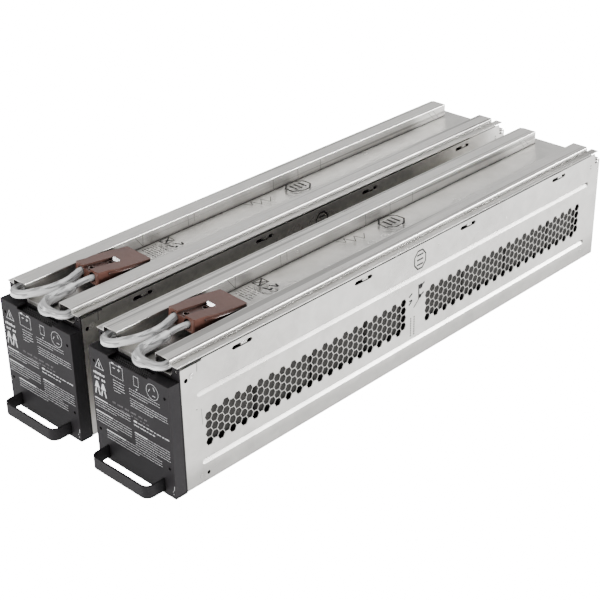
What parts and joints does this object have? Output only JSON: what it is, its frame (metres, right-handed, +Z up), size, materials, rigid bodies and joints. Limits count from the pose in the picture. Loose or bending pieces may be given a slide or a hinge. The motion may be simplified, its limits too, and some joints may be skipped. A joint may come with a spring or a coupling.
{
  "type": "rack battery tray set",
  "caption": "Long galvanised battery trays for a rack, with perforated sides, dark front boxes, pull handles, raised wiring rails and sleeved leads ending in a connector.",
  "frame": {"origin": "centre of the set's footprint, on the surface that both trays rest on, measured over the steelwork and handles without the loose leads and connectors", "axes": "+Y along the trays towards the rear, so the handles face -Y; +X to the right-hand tray as seen from the handles; +Z up"},
  "size_m": [0.2248, 0.628, 0.1329],
  "materials": {
    "galvanised_steel": "satin galvanised sheet, fine spangle",
    "charcoal_paint": "matt fine-texture powder coat",
    "block_case": "matt moulded ABS",
    "copper_link": "bare copper strap",
    "plated_contact": "silver plate",
    "lead_sleeve": "soft translucent grey sleeve",
    "connector_housing": "glossy moulded polycarbonate"
  },
  "bodies": {
    "right_tray": {"right_tray": "galvanised_steel", "right_rear_panel": "galvanised_steel", "right_bulkhead": "charcoal_paint", "right_front_box": "charcoal_paint", "right_pull_handle": "charcoal_paint", "right_lid_deck": "galvanised_steel", "right_rail_left": "galvanised_steel", "right_rail_right": "galvanised_steel", "right_block_1": "block_case", "right_block_2": "block_case", "right_block_3": "block_case", "right_block_4": "block_case", "right_block_5": "block_case", "right_block_6": "block_case", "right_block_7": "block_case", "right_block_8": "block_case", "right_link_1": "copper_link", "right_link_2": "copper_link", "right_link_3": "copper_link", "right_link_4": "copper_link", "right_link_5": "copper_link", "right_link_6": "copper_link", "right_link_7": "copper_link", "right_duct_lead": "lead_sleeve", "right_lead_left": "lead_sleeve", "right_lead_right": "lead_sleeve"},
    "right_plug": {"right_connector": "connector_housing", "right_contact_left": "plated_contact", "right_contact_right": "plated_contact"},
    "left_tray": {"left_tray": "galvanised_steel", "left_rear_panel": "galvanised_steel", "left_bulkhead": "charcoal_paint", "left_front_box": "charcoal_paint", "left_pull_handle": "charcoal_paint", "left_lid_deck": "galvanised_steel", "left_rail_left": "galvanised_steel", "left_rail_right": "galvanised_steel", "left_block_1": "block_case", "left_block_2": "block_case", "left_block_3": "block_case", "left_block_4": "block_case", "left_block_5": "block_case", "left_block_6": "block_case", "left_block_7": "block_case", "left_block_8": "block_case", "left_link_1": "copper_link", "left_link_2": "copper_link", "left_link_3": "copper_link", "left_link_4": "copper_link", "left_link_5": "copper_link", "left_link_6": "copper_link", "left_link_7": "copper_link", "left_duct_lead": "lead_sleeve", "left_lead_left": "lead_sleeve", "left_lead_right": "lead_sleeve"},
    "left_plug": {"left_connector": "connector_housing", "left_contact_left": "plated_contact", "left_contact_right": "plated_contact"}
  },
  "joints": [
    {"name": "left_tray_draw", "type": "slide", "parent": "right_tray", "child": "left_tray", "axis": [0, -1, 0], "range_m": [0, 0.45]},
    {"name": "right_connector_lift", "type": "hinge", "parent": "right_tray", "child": "right_plug", "pos_m": [0.0624, -0.29, 0.119], "axis": [1, 0, 0], "range_deg": [0, 40], "deforming": ["right_lead_left", "right_lead_right"]},
    {"name": "left_connector_lift", "type": "hinge", "parent": "left_tray", "child": "left_plug", "pos_m": [-0.0624, -0.29, 0.119], "axis": [1, 0, 0], "range_deg": [0, 40], "deforming": ["left_lead_left", "left_lead_right"]}
  ]
}
